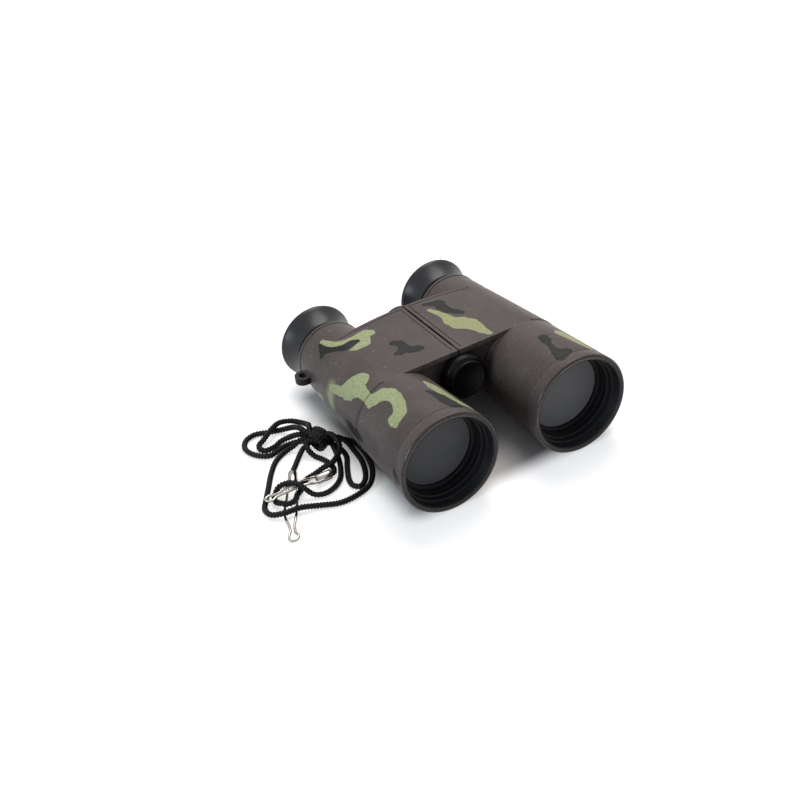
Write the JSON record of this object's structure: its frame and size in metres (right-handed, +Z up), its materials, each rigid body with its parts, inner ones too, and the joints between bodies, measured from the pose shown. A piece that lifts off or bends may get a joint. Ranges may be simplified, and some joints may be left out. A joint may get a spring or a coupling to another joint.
{
  "type": "folding toy binoculars",
  "caption": "Folding toy binoculars in camouflage finish, with individually focused eyepieces and a loose black neck cord with two wire clips.",
  "frame": {"origin": "centre of the bounding box of the binoculars, without the cord, on the table they rest on", "axes": "+Y runs from the objective rims to the eyecups, +X from the left barrel to the right one as seen from the front rims with the top up, +Z up. The barrels lean back by about 2.6 degrees on the table."},
  "size_m": [0.1442, 0.1134, 0.0431],
  "materials": {
    "painted_shell": "satin, warm grey-brown with a camouflage pattern",
    "gloss_black": "gloss",
    "matte_black": "matt",
    "lens_glass": "smoked clear",
    "bright_steel": "bright",
    "nickel": "polished nickel plate",
    "black_cord": "braided"
  },
  "bodies": {
    "left_half": {"left_upper_shell": "painted_shell", "left_lower_shell": "painted_shell", "left_objective_tube": "painted_shell", "left_objective_liner": "matte_black", "left_objective_retainer": "matte_black", "left_objective_lens": "lens_glass", "left_shell_screws": "bright_steel", "hinge_axle": "bright_steel", "front_cap": "gloss_black", "front_washer": "matte_black", "rear_knob": "gloss_black", "rear_washer": "matte_black", "cord_from_left_clip": "black_cord", "cord_outer_loop": "black_cord", "cord_inner_ring": "black_cord", "cord_left_loop": "black_cord", "cord_upper_loop": "black_cord", "cord_inner_loop": "black_cord", "cord_to_right_clip": "black_cord", "cord_knot": "black_cord", "left_clip_ferrule": "nickel", "left_clip_wire": "nickel", "right_clip_ferrule": "nickel", "right_clip_wire": "nickel"},
    "right_half": {"right_upper_shell": "painted_shell", "right_lower_shell": "painted_shell", "right_objective_tube": "painted_shell", "right_objective_liner": "matte_black", "right_objective_retainer": "matte_black", "right_objective_lens": "lens_glass", "right_shell_screws": "bright_steel"},
    "left_cell": {"left_eyepiece_cell": "matte_black", "left_ocular_lens": "lens_glass", "left_ocular_ring": "matte_black"},
    "left_cup": {"left_eyecup": "gloss_black"},
    "right_cell": {"right_eyepiece_cell": "matte_black", "right_ocular_lens": "lens_glass", "right_ocular_ring": "matte_black"},
    "right_cup": {"right_eyecup": "gloss_black"}
  },
  "joints": [
    {"name": "fold", "type": "hinge", "parent": "left_half", "child": "right_half", "pos_m": [0, 0.00603, 0.026], "axis": [0, 0.999, -0.0451], "range_deg": [0, 30]},
    {"name": "left_focus", "type": "slide", "parent": "left_half", "child": "left_cell", "axis": [0, 0.999, -0.0451], "range_m": [0, 0.004]},
    {"name": "left_turn", "type": "hinge", "parent": "left_cell", "child": "left_cup", "pos_m": [-0.03, 0.04617, 0.01698], "axis": [0, 0.999, -0.0451], "range_deg": [0, 270]},
    {"name": "right_focus", "type": "slide", "parent": "right_half", "child": "right_cell", "axis": [0, 0.999, -0.0451], "range_m": [0, 0.004]},
    {"name": "right_turn", "type": "hinge", "parent": "right_cell", "child": "right_cup", "pos_m": [0.03, 0.04617, 0.01698], "axis": [0, 0.999, -0.0451], "range_deg": [0, 270]}
  ],
  "couplings": [
    {"joint": "left_focus", "follows": "left_turn", "m_per_rad": 0.00084},
    {"joint": "right_focus", "follows": "right_turn", "m_per_rad": 0.00084}
  ]
}
